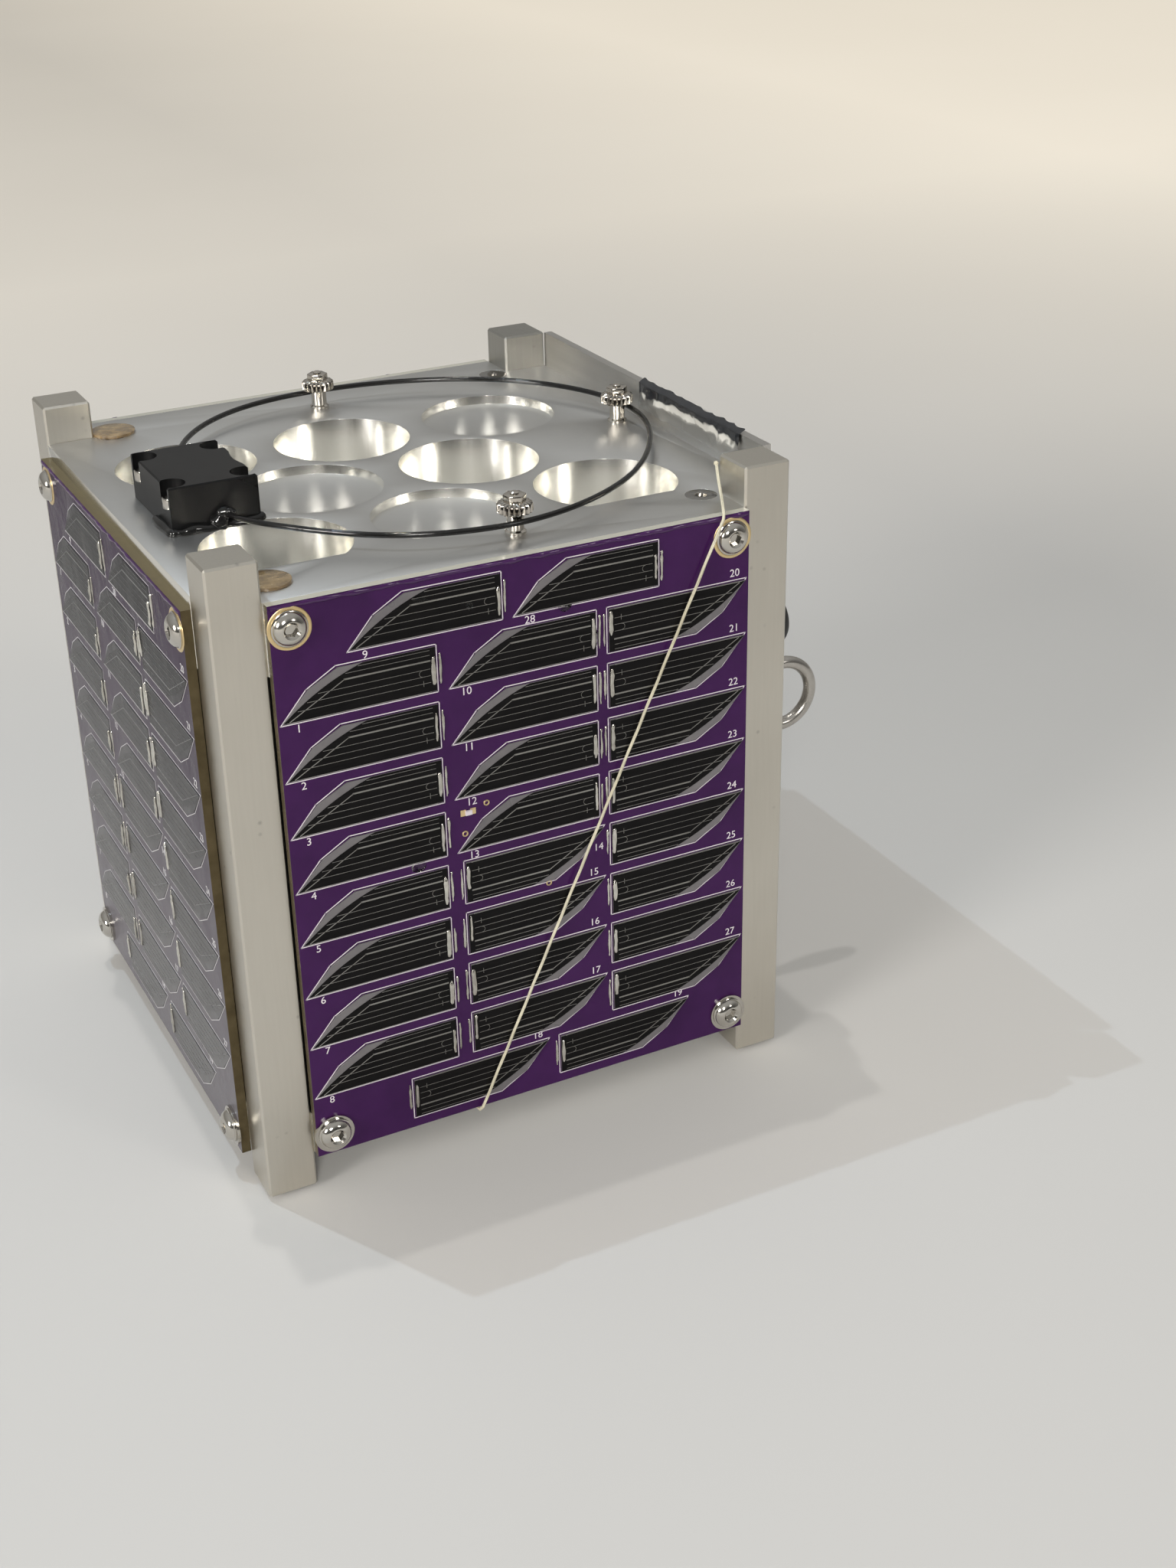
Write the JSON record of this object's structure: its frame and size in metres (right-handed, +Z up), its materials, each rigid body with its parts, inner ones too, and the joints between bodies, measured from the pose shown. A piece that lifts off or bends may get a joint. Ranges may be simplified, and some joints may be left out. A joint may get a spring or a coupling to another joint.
{
  "type": "cube satellite",
  "caption": "Small cube satellite: square aluminium corner rails, machined end plates with round pockets, solar boards with wing-shaped cells, a coiled wire antenna on posts and a pull pin.",
  "frame": {"origin": "on the floor under the middle of the square frame of rails", "axes": "+Z up towards the antenna end, -Y out of the front solar board, +X out of the metal side panel with the pull pin"},
  "size_m": [0.1298, 0.1076, 0.1152],
  "materials": {
    "rail": "satin anodised",
    "plate": "machined",
    "panel": "polished",
    "board": "gloss lacquer",
    "cell": "gloss",
    "screw": "polished stainless steel",
    "black_plastic": "gloss",
    "wire": "satin coated steel",
    "post": "nickel plate",
    "resin": "gloss",
    "thread": "waxed",
    "foot": "dark steel",
    "pin": "steel",
    "rubber": "matt",
    "stack": "plain block"
  },
  "bodies": {
    "satellite": {"rail_front_left": "rail", "rail_front_right": "rail", "rail_back_left": "rail", "rail_back_right": "rail", "separation_feet": "foot", "top_plate": "plate", "bottom_plate": "plate", "solar_board_front": "board", "solar_board_left": "board", "solar_board_back": "board", "solar_cells_front": "cell", "solar_cells_left": "cell", "solar_cells_back": "cell", "side_panel": "panel", "pin_socket": "pin", "port_cap": "rubber", "board_screws_front": "screw", "board_screws_left": "screw", "board_screws_back": "screw", "board_screws_right": "screw", "board_washers_front": "screw", "board_washers_left": "screw", "board_washers_back": "screw", "board_washers_right": "screw", "plate_screws_top": "screw", "plate_screws_bottom": "screw", "resin_caps": "resin", "antenna_box": "black_plastic", "antenna_box_screws": "screw", "antenna_wire": "wire", "antenna_posts": "post", "thumb_nuts": "post", "tie_thread": "thread", "electronics_stack": "stack"},
    "pin": {"pull_pin": "pin"}
  },
  "joints": [
    {"name": "pin_pull", "type": "slide", "parent": "satellite", "child": "pin", "axis": [1, 0, 0], "range_m": [0, 0.02]}
  ]
}
